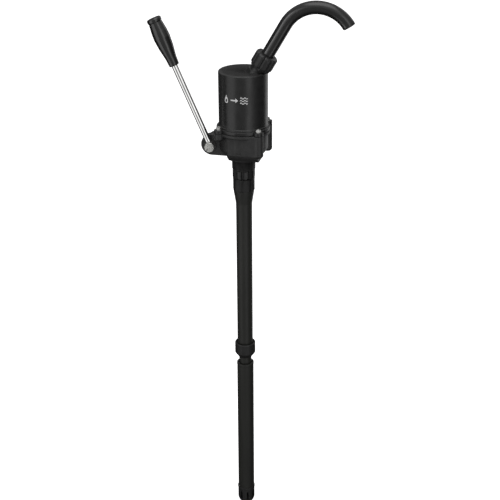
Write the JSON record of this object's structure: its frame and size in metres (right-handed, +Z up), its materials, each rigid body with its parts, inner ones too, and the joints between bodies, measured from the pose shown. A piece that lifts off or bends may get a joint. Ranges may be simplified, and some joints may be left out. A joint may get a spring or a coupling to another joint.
{
  "type": "hand lever drum pump",
  "caption": "Hand lever piston pump for a drum: screw-in head, side lever, swivelling curved spout and a suction tube whose lower section slides out.",
  "frame": {"origin": "on the pump's axis, at the bung thread, 6 mm below the seat that rests on the drum's bung", "axes": "+Z up along the pump's axis, -Y the front, -X the lever's side, +X the spout's side"},
  "size_m": [0.4022, 0.108, 1.1591],
  "materials": {
    "housing_black": "moulded black glass-filled plastic, fine grain, satin",
    "cylinder_black": "moulded black plastic, semi-gloss",
    "tube_black": "extruded black polyethylene, matt",
    "nut_black": "moulded black plastic, satin",
    "spout_black": "bent black plastic tube, satin",
    "grip_black": "glossy black hand grip",
    "chrome_steel": "bright drawn and chromed steel rod",
    "zinc_steel": "zinc-plated turned steel",
    "bearing_plastic": "natural bearing plastic",
    "seal_rubber": "black seal rubber",
    "stainless": "stainless steel, turned"
  },
  "bodies": {
    "pump_head": {"crank_housing": "housing_black", "cylinder": "cylinder_black", "cylinder_gasket": "seal_rubber", "flange_screws": "zinc_steel", "flange_washers": "zinc_steel", "front_bushing": "bearing_plastic", "rear_bushing": "bearing_plastic", "shaft_seal": "seal_rubber", "outlet_gasket": "seal_rubber", "neck_gasket": "seal_rubber", "tube_nut": "nut_black", "upper_tube": "tube_black", "tube_collar": "nut_black", "inner_tube": "tube_black", "slide_seal": "seal_rubber"},
    "lever_set": {"lever_shaft": "zinc_steel", "lever_rod": "chrome_steel", "lever_grip": "grip_black", "rocker_arm": "stainless", "arm_pin": "stainless"},
    "piston_set": {"piston_rod": "stainless", "crosshead_pin": "stainless", "piston": "bearing_plastic", "piston_seal": "seal_rubber", "valve_stud": "stainless"},
    "delivery_valve": {"piston_valve": "seal_rubber"},
    "spout": {"spout_tube": "spout_black"},
    "nut": {"union_nut": "nut_black"},
    "lower_section": {"lower_tube": "tube_black", "guide_bush": "bearing_plastic", "foot_strainer": "nut_black", "valve_seat": "bearing_plastic", "valve_cage": "stainless"},
    "suction_valve": {"foot_valve": "seal_rubber"}
  },
  "joints": [
    {"name": "lever_hinge", "type": "hinge", "parent": "pump_head", "child": "lever_set", "pos_m": [-0.061, 0, 0.036], "axis": [0, 1, 0], "range_deg": [-20, 20]},
    {"name": "piston_slide", "type": "slide", "parent": "pump_head", "child": "piston_set", "axis": [0, 0, 1], "range_m": [-0.0225, 0.0225]},
    {"name": "delivery_valve_lift", "type": "slide", "parent": "piston_set", "child": "delivery_valve", "axis": [0, 0, 1], "range_m": [0, 0.004]},
    {"name": "spout_swivel", "type": "hinge", "parent": "pump_head", "child": "spout", "pos_m": [0.03, 0, 0.187], "axis": [0.5, 0, 0.866], "continuous": true},
    {"name": "nut_turn", "type": "hinge", "parent": "pump_head", "child": "nut", "pos_m": [0.03, 0, 0.187], "axis": [0.5, 0, 0.866], "continuous": true},
    {"name": "tube_extension", "type": "slide", "parent": "pump_head", "child": "lower_section", "axis": [0, 0, -1], "range_m": [0, 0.26]},
    {"name": "suction_valve_lift", "type": "slide", "parent": "lower_section", "child": "suction_valve", "axis": [0, 0, 1], "range_m": [0, 0.004]}
  ],
  "couplings": [
    {"joint": "piston_slide", "follows": "lever_hinge", "m_per_rad": -0.06283}
  ]
}
